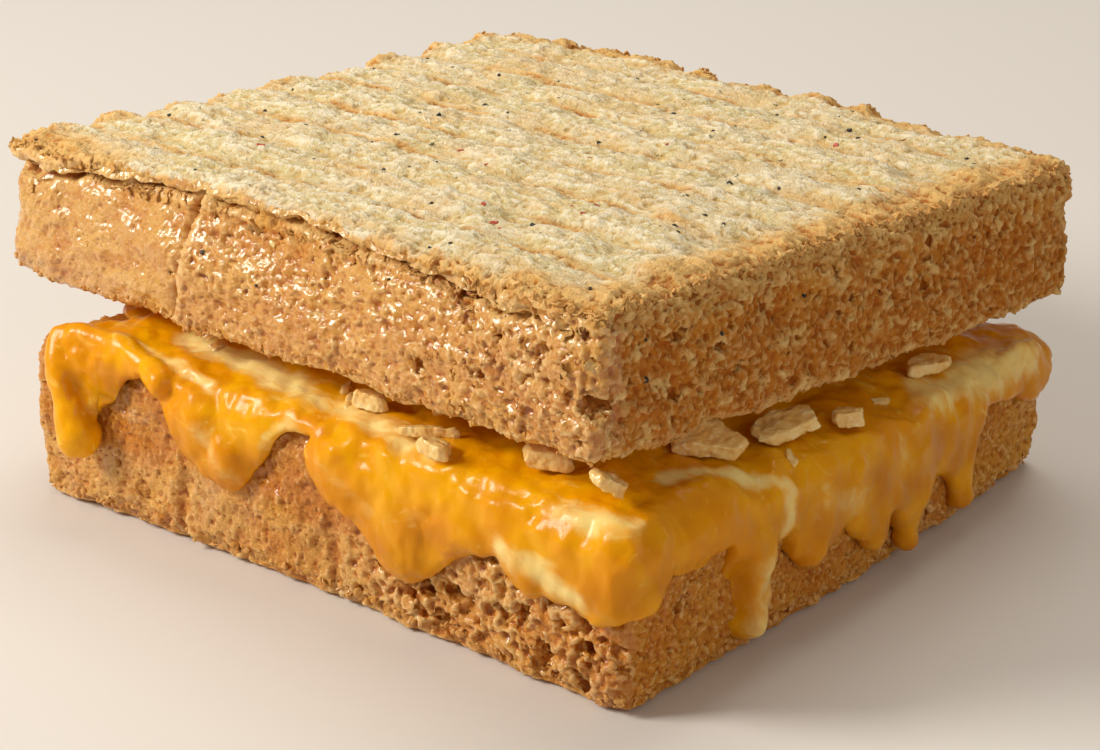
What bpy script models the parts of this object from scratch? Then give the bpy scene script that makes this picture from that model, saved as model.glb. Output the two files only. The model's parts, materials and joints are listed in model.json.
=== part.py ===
"""Grilled cheese sandwich: two thick slices of bread, melted cheese, chopped garlic.

The cheese runs right through the sandwich, over the edges of the lower slice and
down its sides in drips. The upper slice carries the marks of a ribbed grill; it has
slipped back a little and leans towards the far side, so a gap stays open under its
near corner, where pieces of garlic lie on the cheese.

Metres, +Z up. The front side faces -Y and the right side faces +X. The whole
sandwich stands on z = 0 with the middle of its bounding box over the origin.
"""
import math

import bmesh
import bpy
from mathutils import Euler, Vector, noise
from mathutils.bvhtree import BVHTree

MM = 0.001

# Bread
LOWER_HALF = Vector((55.0, 51.25, 12.75)) * MM
LOWER_CELLS = (20, 18, 5)
LOWER_CROWDING = (1.35, 1.35, 1.2)  # radians of a sine: cells are narrower at the rims
LOWER_TAPER = 5.7 * MM           # how much thinner the back edge is than the front edge
UPPER_HALF = Vector((58.8, 52.8, 10.3)) * MM
UPPER_CELLS = (13, 46, 4)
UPPER_CROWDING = (1.45, 0.9, 1.2)
UPPER_PLACE = Vector((-4.9, 3.9, 29.2)) * MM
UPPER_LEAN = Euler((math.radians(-4.0), math.radians(-1.9), math.radians(-3.3)))
CORNER_RADIUS = 3.2 * MM         # corners of a slice, seen from above
RIM_RADIUS = 2.2 * MM            # rounding of the top and bottom rims, in height

# Grill marks and crust of the upper slice
RIDGE_PITCH = 11.6 * MM
VALLEY_DEPTH = 0.9 * MM
VALLEY_WIDTH = 2.4 * MM
CROWN = 1.3 * MM                 # how far the middle of the top swells
SCALLOP = 1.3 * MM               # how far the left rim stands out at each ridge
FRONT_LEAN = 3.0 * MM            # how far the front side's top edge lies back, mid-side
LEFT_WAIST = 3.0 * MM            # how far the left side is drawn in, mid-side
LIP_GROOVE = 1.4 * MM            # groove under the crust lip of the front side
RIGHT_SAG = 1.8 * MM             # how far the right side swells out at the foot
BACK_BULGE = 2.2 * MM            # how far the back side swells out, mid-side

# Cheese
GAP = 0.4 * MM                   # clearance that touching pieces keep
SINK = 1.2 * MM                  # how far the uncut cheese reaches into the lower slice
FILM = 3.0 * MM                  # cheese thickness where it leaves the upper slice
SIDE_FILM = 2.2 * MM             # cheese thickness on the sides of the lower slice
TIP_ALLOWANCE = 2.8 * MM         # way round the rim and into the bread, past a drip's drop
CAP_INSET = 28.0 * MM            # inner rings of the cheese, in from the lower slice's side
RIM_ARC = 0.25 * math.pi * (CORNER_RADIUS + RIM_RADIUS)  # way round the rim, top to side
SEEN_STEP = 2.5 * MM             # spacing of the cheese's columns on the front and right
BACK_STEP = 5.0 * MM             # and on the back and left

# Where the cheese hangs down: side, place along the side, half width, drop, squareness.
# Places are x on the front and back and y on the right and left, from the lower
# slice's middle. A squareness of 2 gives a round tip, and 4 or more a finger or a sheet.
DRIPS = (
    ("front", -46.0, 7.5, 16.6, 2.4),
    ("front", -39.5, 6.5, 8.0, 2.0),
    ("front", -16.5, 12.0, 13.0, 2.0),
    ("front", 18.0, 15.5, 17.3, 1.8),
    ("front", 31.0, 6.5, 9.0, 3.0),
    ("front", 36.0, 8.0, 5.5, 6.0),
    ("front", 50.0, 12.4, 11.0, 8.0),
    ("right", -36.0, 9.0, 5.2, 6.0),
    ("right", -26.5, 5.0, 23.0, 5.0),
    ("right", -13.0, 9.0, 14.3, 4.0),
    ("right", 0.0, 7.5, 16.5, 3.0),
    ("right", 8.0, 19.5, 13.0, 8.0),
    ("right", 10.0, 5.5, 19.8, 3.0),
    ("right", 23.0, 5.0, 17.6, 3.0),
    ("right", 30.0, 22.0, 4.5, 6.0),
    ("right", 43.5, 6.0, 8.3, 2.5),
    ("back", 46.0, 9.0, 6.5, 3.0),
    ("back", 27.0, 8.0, 10.0, 2.5),
    ("back", 2.0, 12.0, 8.0, 3.0),
    ("back", -6.0, 8.0, 13.5, 2.0),
    ("back", -33.0, 11.0, 9.0, 2.5),
    ("left", 40.0, 10.0, 6.0, 2.5),
    ("left", 19.0, 7.0, 12.0, 2.5),
    ("left", -6.0, 12.0, 8.0, 2.5),
    ("left", -14.0, 5.0, 11.0, 3.0),
)
FILM_DROP = 1.8                  # millimetres that the cheese passes the rim between drips
BARE_CORNER = (-55.0, 20.0, 8.0)  # front-left corner: where the cheese draws back, how wide, how far

# Chopped garlic: length, width, thickness, x, y (from the lower slice's middle),
# heading, pitch and roll in degrees.
GARLIC = (
    (5.6, 3.8, 2.6, 6.8, -45.0, 20, 0, 0),
    (9.6, 2.4, 1.5, 18.6, -47.4, 24, 0, -6),
    (5.2, 3.4, 2.2, 22.6, -50.2, 5, 4, 0),
    (7.0, 5.2, 2.6, 36.8, -43.9, 30, 0, 12),
    (6.4, 5.0, 1.9, 49.6, -47.4, 62, 40, 6),
    (10.6, 7.0, 2.3, 49.4, -26.0, 52, 0, 22),
    (11.4, 6.0, 1.9, 52.4, -13.2, 72, -2, 10),
    (4.6, 4.2, 2.4, 55.9, -3.0, 40, 0, 0),
    (8.8, 4.6, 1.8, 52.6, 21.8, 84, 0, 8),
)


def clear_scene():
    for item in list(bpy.data.objects):
        bpy.data.objects.remove(item, do_unlink=True)


def material(name, colour, roughness, metallic=0.0):
    made = bpy.data.materials.new(name)
    made.use_nodes = True
    shader = made.node_tree.nodes["Principled BSDF"]
    shader.inputs["Base Color"].default_value = (*colour, 1.0)
    shader.inputs["Roughness"].default_value = roughness
    shader.inputs["Metallic"].default_value = metallic
    return made


def finished(bm, name, skin, collection, smooth_below=40.0):
    """Turns a bmesh into a smooth-shaded object with one material."""
    bmesh.ops.recalc_face_normals(bm, faces=bm.faces)
    mesh = bpy.data.meshes.new(name)
    bm.to_mesh(mesh)
    bm.free()
    mesh.shade_smooth()
    mesh.set_sharp_from_angle(angle=math.radians(smooth_below))
    if skin:
        mesh.materials.append(skin)
    made = bpy.data.objects.new(name, mesh)
    collection.objects.link(made)
    return made


def bell(offset, width):
    return math.exp(-(offset / width) ** 2)


def waver(x, y, z, wavelength, seed):
    """Smooth unevenness between -1 and 1."""
    return noise.noise(Vector((x, y, z)) / wavelength + Vector((seed, 0.37 * seed, 0.0)))


# ---------------------------------------------------------------- bread

def gridded_box(cells):
    """A cube from -1 to 1 with its faces divided into the given cells along x, y and z."""
    bm = bmesh.new()
    bmesh.ops.create_cube(bm, size=2.0)
    for axis, count in enumerate(cells):
        along = [e for e in bm.edges if abs((e.verts[0].co - e.verts[1].co)[axis]) > 0.5]
        bmesh.ops.subdivide_edges(bm, edges=along, cuts=count - 1, use_grid_fill=True)
    return bm


def crowded(place, crowding):
    return Vector(math.sin(t * c) / math.sin(c) for t, c in zip(place, crowding))


def rounded(place, half):
    """Moves a point of a box's surface onto the same box with rounded corners and rims."""
    radii = (CORNER_RADIUS, CORNER_RADIUS, RIM_RADIUS)
    core = Vector(max(r - h, min(h - r, p)) for p, h, r in zip(place, half, radii))
    reach = Vector((p - c) / r for p, c, r in zip(place, core, radii))
    longest = max(abs(t) for t in reach)
    shrink = longest / reach.length if reach.length > 0.0 else 1.0
    return core + Vector(t * r * shrink for t, r in zip(reach, radii))


def slice_blank(cells, crowding, half, grown=0.0):
    """A rounded slab of bread standing on z = 0, or the same slab grown all round."""
    bm = gridded_box(cells)
    size = half + Vector((grown, grown, grown))
    for vert in bm.verts:
        spread = Vector(t * h for t, h in zip(crowded(vert.co, crowding), size))
        vert.co = rounded(spread, size) + Vector((0.0, 0.0, half.z))
    return bm


def merge_flat_foot(bm):
    """Joins the level faces of the underside into one."""
    level = [f for f in bm.faces if all(abs(v.co.z) < 0.01 * MM for v in f.verts)]
    bmesh.ops.dissolve_faces(bm, faces=level, use_verts=True)


def shape_lower(place):
    """Bends a point of, or near, the plain lower slab to the lower slice's true shape."""
    x, y, z = place
    along_y = y / LOWER_HALF.y
    along_x = x / LOWER_HALF.x
    height = 2.0 * LOWER_HALF.z
    thinner = LOWER_TAPER / height * 0.5 * (1.0 + max(-1.2, min(1.2, along_y)))
    off_foot = min(1.0, max(0.0, z / (3.0 * MM)))
    swell = 1.6 * MM * (1.0 - along_y ** 2) * max(0.0, along_x) ** 3
    waist = 2.4 * MM * (1.0 - along_y ** 2) * max(0.0, -along_x) ** 3
    front_in = 1.1 * MM * (1.0 - along_x ** 2) * max(0.0, -along_y) ** 3
    back_in = 2.0 * MM * (1.0 - along_x ** 2) * max(0.0, along_y) ** 3
    uneven = 0.7 * MM * off_foot
    return Vector((
        x + swell + waist + uneven * waver(x, y, z, 17 * MM, 3.1),
        y + front_in - back_in + uneven * waver(x, y, z, 15 * MM, 8.4),
        z * (1.0 - thinner),
    ))


def shape_upper(place):
    """Bends a point of the plain upper slab to the upper slice's true shape."""
    x, y, z = place
    along_x = x / UPPER_HALF.x
    along_y = y / UPPER_HALF.y
    height = 2.0 * UPPER_HALF.z
    up = z / height
    nearest = (y / RIDGE_PITCH - math.floor(y / RIDGE_PITCH) - 0.5) * RIDGE_PITCH
    valley = bell(nearest, VALLEY_WIDTH)
    wander = 1.0 + 0.35 * waver(x, y, 0.0, 19 * MM, 5.2)

    off_foot = min(1.0, max(0.0, z / (3.0 * MM)))
    lean_in = FRONT_LEAN * up * (1.0 - along_x ** 2) * max(0.0, -along_y) ** 2
    groove_at = height - (4.3 + 1.2 * waver(x, 0.0, 0.0, 24 * MM, 1.7)) * MM
    groove = LIP_GROOVE * bell(z - groove_at, 1.8 * MM) * max(0.0, -along_y) ** 4
    fades = 1.0 - 0.75 * max(0.0, along_x)
    waist = LEFT_WAIST * (1.0 - along_y ** 2) * max(0.0, -along_x) ** 3
    edge_waist = 1.8 * MM * bell(z - 0.55 * height, 4.0 * MM) * max(0.0, -along_x) ** 6
    scallop = SCALLOP * (0.5 - valley) * max(0.0, -along_x) ** 6 * up
    sag = RIGHT_SAG * (1.0 - up) * max(0.0, along_x) ** 4 * (1.0 - 0.5 * along_y ** 2)
    uneven = 0.7 * MM * off_foot
    crown = CROWN * (1.0 - along_x ** 4) * (1.0 - 0.5 * along_y ** 4)
    bulge = BACK_BULGE * (1.0 - along_x ** 4) * max(0.0, along_y) ** 4
    top_part = max(0.0, up - 0.5) * 2.0
    return Vector((
        x + waist + edge_waist - scallop + sag + uneven * waver(x, y, z, 16 * MM, 2.6),
        y + lean_in + groove * fades + bulge + uneven * waver(x, y, z, 15 * MM, 6.9),
        z + top_part * (crown - VALLEY_DEPTH * valley * wander),
    ))


def bread_slice(name, blank, shape, skin, collection):
    for vert in blank.verts:
        vert.co = shape(vert.co)
    merge_flat_foot(blank)
    return finished(blank, name, skin, collection)


# ---------------------------------------------------------------- cheese

def underside(x, y):
    """Height of the upper slice's flat underside over a point."""
    normal = Vector((0.0, 0.0, 1.0))
    normal.rotate(UPPER_LEAN)
    across = normal.x * (x - UPPER_PLACE.x) + normal.y * (y - UPPER_PLACE.y)
    return UPPER_PLACE.z - across / normal.z


def outline():
    """Points round the lower slab with their outward directions and the distance round it.

    The distance starts at the front-left corner and runs along the front, the right,
    the back and the left, as if the corners were sharp.
    """
    half_x, half_y = LOWER_HALF.x, LOWER_HALF.y
    # corner, direction along the side, outward direction, length, spacing
    sides = (
        (Vector((-half_x, -half_y)), Vector((1, 0)), Vector((0, -1)), 2 * half_x, SEEN_STEP),
        (Vector((half_x, -half_y)), Vector((0, 1)), Vector((1, 0)), 2 * half_y, SEEN_STEP),
        (Vector((half_x, half_y)), Vector((-1, 0)), Vector((0, 1)), 2 * half_x, BACK_STEP),
        (Vector((-half_x, half_y)), Vector((0, -1)), Vector((-1, 0)), 2 * half_y, BACK_STEP),
    )
    travelled = 0.0
    for corner, along, out, length, step in sides:
        straight = length - 2.0 * CORNER_RADIUS
        count = round(straight / step)
        for i in range(count + 1):
            run = CORNER_RADIUS + straight * i / count
            yield corner + along * run, out, travelled + run
        for i in (1, 2, 3):
            turn = math.radians(90.0 * i / 4)
            centre = corner + along * (length - CORNER_RADIUS) - out * CORNER_RADIUS
            facing = out * math.cos(turn) + along * math.sin(turn)
            run = length + CORNER_RADIUS * (i / 2 - 1.0)
            yield centre + facing * CORNER_RADIUS, facing, travelled + run
        travelled += length


def distance_round(side, place):
    """Distance round the slab, in millimetres, of a place on one of its sides."""
    half_x, half_y = LOWER_HALF.x / MM, LOWER_HALF.y / MM
    return {
        "front": half_x + place,
        "right": 2 * half_x + half_y + place,
        "back": 3 * half_x + 2 * half_y - place,
        "left": 4 * half_x + 3 * half_y - place,
    }[side]


def cheese_drop(run):
    """How far below the rim the cheese hangs, at a distance round the slab. Both in metres."""
    whole = 4.0 * (LOWER_HALF.x + LOWER_HALF.y) / MM
    place = run / MM
    drop = FILM_DROP + 0.8 * noise.noise(Vector((place / 9.0, 4.0, 0.0)))
    for side, at, half_width, reach, squareness in DRIPS:
        off = abs(place - distance_round(side, at))
        off = min(off, whole - off)
        if off < half_width:
            drop = max(drop, reach * (1.0 - (off / half_width) ** squareness))
    corner_at, corner_width, corner_back = BARE_CORNER
    off = abs(place - distance_round("front", corner_at))
    off = min(off, whole - off)
    return (drop - corner_back * bell(off, 0.5 * corner_width)) * MM


def rim_profile(path):
    """Outward place, height over the slab's top, and facing, at a path over the rim.

    The path is zero where the rim starts to round off. The place is counted from the side.
    """
    if path <= 0.0:
        return path - CORNER_RADIUS, 0.0, Vector((0.0, 1.0))
    if path >= RIM_ARC:
        return 0.0, RIM_ARC - RIM_RADIUS - path, Vector((1.0, 0.0))
    turn = 0.5 * math.pi * path / RIM_ARC
    facing = Vector((math.sin(turn) / CORNER_RADIUS, math.cos(turn) / RIM_RADIUS)).normalized()
    out = CORNER_RADIUS * (math.sin(turn) - 1.0)
    return out, RIM_RADIUS * (math.cos(turn) - 1.0), facing


def over_slab(point, facing, out, rise):
    """A point at a distance outward from the slab's side and a height over its top."""
    if out > -0.85 * CORNER_RADIUS:
        flat = point + facing * out
    else:
        flat = Vector((point.x * (1.0 + out / LOWER_HALF.x), point.y * (1.0 + out / LOWER_HALF.y)))
    return shape_lower(Vector((flat.x, flat.y, 2.0 * LOWER_HALF.z + rise)))


def film_thickness(share, side_factor):
    """Cheese thickness at a share of the way from the free edge's start to its tip."""
    body = FILM + (SIDE_FILM - FILM) * min(1.0, share / 0.4)
    swell = 1.0 + (side_factor - 1.0) * min(1.0, share / 0.25)
    closing = math.sqrt(max(0.0, 1.0 - (max(0.0, share - 0.8) / 0.2) ** 2))
    return body * swell * closing


def cheese_column(point, facing, run):
    """One column of the cheese, from the middle of its top, over the tip, to its underside."""
    drop = cheese_drop(run)
    reach = drop * (1.0 + TIP_ALLOWANCE / max(drop, 3.0 * MM)) if drop > 0.0 else drop
    start = min(-0.5 * MM, reach - 5.0 * MM)
    side_factor = 1.0 + 0.35 * max(0.0, facing.x)

    def skin(path, thickness):
        out, rise, away = rim_profile(path)
        placed = over_slab(point, facing, out + away.x * thickness, rise + away.y * thickness)
        placed.z = min(placed.z, underside(placed.x, placed.y) - GAP)
        placed.z = max(placed.z, GAP)
        return placed

    edge = over_slab(point, facing, -CORNER_RADIUS, 0.0)
    open_height = underside(edge.x, edge.y) - edge.z
    leaves_at = start - CORNER_RADIUS - (2.0 * MM + 1.3 * open_height)
    column = []
    for out in (-CAP_INSET, leaves_at):
        placed = over_slab(point, facing, out, FILM)
        placed.z = underside(placed.x, placed.y) - GAP
        column.append(placed)
    neck = over_slab(point, facing, 0.45 * (leaves_at + start - CORNER_RADIUS), FILM)
    neck.z = 0.9 * neck.z + 0.1 * (underside(neck.x, neck.y) - GAP)
    column.append(neck)
    for share in (0.0, 0.16, 0.33, 0.5, 0.66, 0.82, 0.94):
        path = start + share * (reach - start)
        column.append(skin(path, film_thickness(share, side_factor)))
    column.append(skin(reach, -SINK))
    for out in (-0.5 * CAP_INSET, -CAP_INSET):
        column.append(over_slab(point, facing, out, -2.0 * SINK))
    return column


def bread_cutter(collection):
    """The lower slice grown by the gap, which is cut out of the cheese."""
    bm = slice_blank(LOWER_CELLS, LOWER_CROWDING, LOWER_HALF, grown=GAP)
    for vert in bm.verts:
        vert.co = shape_lower(vert.co)
    cutter = finished(bm, "bread_cutter", None, collection)
    cutter.hide_render = True
    cutter.display_type = "WIRE"
    return cutter


def melted_cheese(skin, collection, cutter):
    bm = bmesh.new()
    columns = [
        [bm.verts.new(place) for place in cheese_column(point, facing, run)]
        for point, facing, run in outline()
    ]
    for this, following in zip(columns, columns[1:] + columns[:1]):
        for i in range(len(this) - 1):
            bm.faces.new((this[i], following[i], following[i + 1], this[i + 1]))
    bm.faces.new([column[0] for column in columns])
    bm.faces.new([column[-1] for column in reversed(columns)])
    cheese = finished(bm, "cheese", skin, collection, smooth_below=60.0)
    cut = cheese.modifiers.new("room for the bread", "BOOLEAN")
    cut.operation = "DIFFERENCE"
    cut.solver = "MANIFOLD"
    cut.object = cutter
    return cheese


# ---------------------------------------------------------------- garlic

def chopped_piece(length, width, thickness, number):
    """A knife-cut piece of garlic: a flattened ball with flat cuts on its faces and ends."""
    bm = bmesh.new()
    bmesh.ops.create_icosphere(bm, subdivisions=2, radius=1.0)
    for vert in bm.verts:
        vert.co *= 1.0 + 0.16 * noise.noise(vert.co * 1.3 + Vector((number * 3.7, 0.0, 0.0)))
    swing = math.sin(number * 2.3)
    cuts = (
        (Vector((0.0, 0.0, -0.45)), Vector((0.0, 0.0, -1.0))),
        (Vector((0.0, 0.0, 0.45)), Vector((0.25 * swing, 0.15, 1.0))),
        (Vector((0.72, 0.0, 0.0)), Vector((1.0, 0.5 * swing, 0.2))),
        (Vector((-0.3, -0.52, 0.0)), Vector((-0.45 * swing, -1.0, 0.1))),
    )
    for place, facing in cuts:
        everything = bm.verts[:] + bm.edges[:] + bm.faces[:]
        cut = bmesh.ops.bisect_plane(
            bm, geom=everything, plane_co=place, plane_no=facing, clear_outer=True)
        rim = [item for item in cut["geom_cut"] if isinstance(item, bmesh.types.BMEdge)]
        bmesh.ops.contextual_create(bm, geom=rim)
    bmesh.ops.remove_doubles(bm, verts=bm.verts, dist=0.06)
    low = Vector(min(v.co[i] for v in bm.verts) for i in range(3))
    high = Vector(max(v.co[i] for v in bm.verts) for i in range(3))
    middle = 0.5 * (low + high)
    size = (length * MM, width * MM, thickness * MM)
    for vert in bm.verts:
        vert.co = Vector((vert.co[i] - middle[i]) / (high[i] - low[i]) * size[i] for i in range(3))
    return bm


def lay_on(piece, support):
    """Lowers a piece until it just clears the surface under it."""
    surface = BVHTree.FromObject(support, bpy.context.evaluated_depsgraph_get())
    bpy.context.view_layer.update()
    clearances = []
    for vert in piece.data.vertices:
        above = piece.matrix_world @ vert.co
        hit = surface.ray_cast(above, Vector((0.0, 0.0, -1.0)))[0]
        if hit:
            clearances.append(above.z - hit.z)
    piece.location.z -= min(clearances) - GAP


def chopped_garlic(skin, collection, support):
    start_height = 60.0 * MM
    pieces = []
    for number, (length, width, thickness, x, y, heading, pitch, roll) in enumerate(GARLIC, 1):
        bm = chopped_piece(length, width, thickness, number)
        piece = finished(bm, f"garlic_{number}", skin, collection, smooth_below=25.0)
        piece.location = (x * MM, y * MM, start_height)
        piece.rotation_euler = [math.radians(a) for a in (roll, pitch, heading)]
        lay_on(piece, support)
        pieces.append(piece)
    return pieces


# ---------------------------------------------------------------- whole

def centre_on_origin(pieces, cutter):
    """Parents everything to an empty and moves it so that the pieces stand over the origin."""
    bpy.context.view_layer.update()
    corners = [p.matrix_world @ v.co for p in pieces for v in p.data.vertices]
    low = Vector(min(c[i] for c in corners) for i in range(3))
    high = Vector(max(c[i] for c in corners) for i in range(3))
    holder = bpy.data.objects.new("sandwich_centre", None)
    pieces[0].users_collection[0].objects.link(holder)
    for piece in (*pieces, cutter):
        piece.parent = holder
    holder.location = (-0.5 * (low.x + high.x), -0.5 * (low.y + high.y), -low.z)


def main():
    clear_scene()
    parts = bpy.data.collections.new("grilled_cheese_sandwich")
    cutters = bpy.data.collections.new("cutters")
    for collection in (parts, cutters):
        bpy.context.scene.collection.children.link(collection)
    crust = material("toasted_bread", (0.62, 0.34, 0.12), 0.7)
    crumb = material("grilled_crumb", (0.78, 0.62, 0.32), 0.8)
    melted = material("melted_cheese", (0.86, 0.48, 0.06), 0.25)
    clove = material("garlic_flesh", (0.85, 0.76, 0.48), 0.35)

    lower_blank = slice_blank(LOWER_CELLS, LOWER_CROWDING, LOWER_HALF)
    lower = bread_slice("lower_slice", lower_blank, shape_lower, crust, parts)
    upper_blank = slice_blank(UPPER_CELLS, UPPER_CROWDING, UPPER_HALF)
    upper = bread_slice("upper_slice", upper_blank, shape_upper, crumb, parts)
    upper.location = UPPER_PLACE
    upper.rotation_euler = UPPER_LEAN
    cutter = bread_cutter(cutters)
    cheese = melted_cheese(melted, parts, cutter)
    garlic = chopped_garlic(clove, parts, cheese)
    centre_on_origin([lower, upper, cheese, *garlic], cutter)


main()
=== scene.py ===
import json
import math
import random

import bpy
import numpy as np
from mathutils import Euler, Matrix, Vector, noise
from mathutils.bvhtree import BVHTree

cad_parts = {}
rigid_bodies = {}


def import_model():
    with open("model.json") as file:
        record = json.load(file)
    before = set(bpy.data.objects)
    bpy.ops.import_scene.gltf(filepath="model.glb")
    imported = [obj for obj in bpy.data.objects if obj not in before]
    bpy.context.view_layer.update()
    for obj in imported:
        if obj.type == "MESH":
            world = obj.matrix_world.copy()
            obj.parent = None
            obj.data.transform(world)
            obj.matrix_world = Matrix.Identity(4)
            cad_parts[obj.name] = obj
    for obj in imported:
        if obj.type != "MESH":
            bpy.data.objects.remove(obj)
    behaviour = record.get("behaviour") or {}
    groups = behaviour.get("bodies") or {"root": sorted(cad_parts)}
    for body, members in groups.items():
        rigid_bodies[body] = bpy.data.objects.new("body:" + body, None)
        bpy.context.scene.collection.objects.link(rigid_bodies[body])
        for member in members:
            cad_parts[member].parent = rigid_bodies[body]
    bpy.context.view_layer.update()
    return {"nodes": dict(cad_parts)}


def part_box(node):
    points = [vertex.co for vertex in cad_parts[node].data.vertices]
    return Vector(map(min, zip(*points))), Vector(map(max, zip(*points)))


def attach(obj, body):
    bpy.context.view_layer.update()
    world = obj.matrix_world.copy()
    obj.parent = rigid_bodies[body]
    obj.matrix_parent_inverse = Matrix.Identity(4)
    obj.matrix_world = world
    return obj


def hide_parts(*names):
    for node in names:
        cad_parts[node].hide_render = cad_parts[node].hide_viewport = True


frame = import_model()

MM = 0.001

# Everything is laid out in millimetres from the middle of the lower slice's foot:
# the front side faces -Y and the right side faces +X.
foot_low, foot_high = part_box("lower_slice")
FOOT_MIDDLE = Vector((
    0.5 * (foot_low[0] + foot_high[0]) - 1.0 * MM, 0.5 * (foot_low[1] + foot_high[1]), 0.0))
LOWER_FRAME = Matrix.Translation(FOOT_MIDDLE)

# The upper slice has its own frame, from the middle of its underside.
UPPER_PLACE = Vector((-4.9, 3.9, 29.2)) * MM
UPPER_LEAN = Euler((math.radians(-4.0), math.radians(-1.9), math.radians(-3.3)))
UPPER_FRAME = Matrix.Translation(FOOT_MIDDLE + UPPER_PLACE) @ UPPER_LEAN.to_matrix().to_4x4()
UPPER_HALF = Vector((58.8, 52.8, 10.3))      # half sizes of the slices
LOWER_HALF = Vector((55.0, 51.25, 12.75))
GRILL_PITCH = 11.6                           # spacing of the grill's marks across the top
GRILL_START = -5.4                           # one of the marks
CREASE_AT = -18.4                            # crease down the front of the upper slice

FACE_LIMIT = 195000                          # triangles that one piece may have
VOXEL = 0.38                                 # first mesh size of the bread, in millimetres


# ---------------------------------------------------------------- working by hand

def alone(piece):
    """Selects one piece and makes it active."""
    bpy.ops.object.select_all(action="DESELECT")
    piece.select_set(True)
    bpy.context.view_layer.objects.active = piece


def put_on(piece, kind, name, **settings):
    """Adds a modifier with these settings and applies it."""
    alone(piece)
    modifier = piece.modifiers.new(name, kind)
    for key, value in settings.items():
        setattr(modifier, key, value)
    bpy.ops.object.modifier_apply(modifier=modifier.name)


def merge_doubles(piece, distance=0.01 * MM):
    alone(piece)
    bpy.ops.object.mode_set(mode="EDIT")
    bpy.ops.mesh.select_all(action="SELECT")
    bpy.ops.mesh.remove_doubles(threshold=distance)
    bpy.ops.mesh.normals_make_consistent(inside=False)
    bpy.ops.object.mode_set(mode="OBJECT")


def copy_of_node(node, name):
    """A new piece with the merged mesh of a CAD node."""
    piece = bpy.data.objects.new(name, frame["nodes"][node].data.copy())
    bpy.context.scene.collection.objects.link(piece)
    piece.data.materials.clear()
    merge_doubles(piece)
    return piece


def joined(pieces, name):
    bpy.ops.object.select_all(action="DESELECT")
    for piece in pieces:
        piece.select_set(True)
    bpy.context.view_layer.objects.active = pieces[0]
    if len(pieces) > 1:
        bpy.ops.object.join()
    pieces[0].name = name
    pieces[0].data.name = name
    return pieces[0]


def copied(model, matrix):
    """A copy of a small model with its own mesh, put in place in the mesh."""
    mesh = model.data.copy()
    mesh.transform(matrix)
    piece = bpy.data.objects.new(model.name, mesh)
    bpy.context.scene.collection.objects.link(piece)
    return piece


def settle(piece):
    """Moves the place of a piece into its mesh."""
    alone(piece)
    bpy.ops.object.transform_apply(location=True, rotation=True, scale=True)


def smooth(piece, angle=60.0):
    alone(piece)
    bpy.ops.object.shade_smooth_by_angle(angle=math.radians(angle))


def removed(*pieces):
    for piece in pieces:
        bpy.data.objects.remove(piece, do_unlink=True)


# ---------------------------------------------------------------- measuring a surface

def places(piece, within):
    """Vertex places in a frame, in millimetres, one row each."""
    flat = np.empty(3 * len(piece.data.vertices), dtype=np.float32)
    piece.data.vertices.foreach_get("co", flat)
    turn = np.array(within.inverted(), dtype=np.float32)
    return (flat.reshape(-1, 3) @ turn[:3, :3].T + turn[:3, 3]) / MM


def facings(piece, within):
    """Vertex normals in a frame, one row each."""
    flat = np.empty(3 * len(piece.data.vertices), dtype=np.float32)
    piece.data.vertices.foreach_get("normal", flat)
    turn = np.array(within.to_3x3().inverted(), dtype=np.float32)
    return flat.reshape(-1, 3) @ turn.T


def ramp(values, start, end):
    """0 before start, 1 after end, and smooth between."""
    share = np.clip((values - start) / (end - start), 0.0, 1.0)
    return share * share * (3.0 - 2.0 * share)


def bell(values, width):
    return np.exp(-(values / width) ** 2)


def waver(points, wavelength, seed):
    """Smooth unevenness between -1 and 1 at every point, in the same unit as the points."""
    shift = Vector((seed, 0.37 * seed, 1.9 * seed))
    return np.array([noise.noise(Vector(p) / wavelength + shift) for p in points.tolist()])


def weigh(piece, name, weights):
    """A vertex group from an array of weights."""
    group = piece.vertex_groups.new(name=name)
    steps = np.rint(np.clip(weights, 0.0, 1.0) * 20).astype(int)
    for step in range(1, 21):
        chosen = np.flatnonzero(steps == step).tolist()
        if chosen:
            group.add(chosen, step / 20, "REPLACE")
    return name


def note(piece, name, values):
    """Keeps a number at every vertex for the material to read."""
    attribute = piece.data.attributes.new(name, "FLOAT", "POINT")
    attribute.data.foreach_set("value", np.asarray(values, dtype=np.float32))


def standing_out(piece, passes):
    """How far each vertex stands out of its surroundings, in millimetres."""
    mesh, count = piece.data, len(piece.data.vertices)
    ends = np.empty(2 * len(mesh.edges), dtype=np.int32)
    mesh.edges.foreach_get("vertices", ends)
    first, second = ends[0::2], ends[1::2]
    neighbours = np.bincount(ends, minlength=count)[:, None]
    own = places(piece, LOWER_FRAME)
    level = own.copy()
    for _ in range(passes):
        total = [np.bincount(first, level[second, axis], count) + np.bincount(second, level[first, axis], count)
                 for axis in range(3)]
        level = 0.5 * level + 0.5 * np.stack(total, axis=1) / neighbours
    return np.sum((own - level) * facings(piece, LOWER_FRAME), axis=1)


def distance_to_path(points, path):
    """Shortest distance from each point to a line of straight stretches."""
    nearest = np.full(len(points), 1e9)
    for start, end in zip(path, path[1:]):
        start, along = np.array(start), np.array(end) - np.array(start)
        share = np.clip((points - start) @ along / (along @ along), 0.0, 1.0)
        nearest = np.minimum(nearest, np.linalg.norm(points - start - share[:, None] * along, axis=1))
    return nearest


def surface_of(piece):
    return BVHTree.FromObject(piece, bpy.context.evaluated_depsgraph_get())


# ---------------------------------------------------------------- relief

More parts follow.
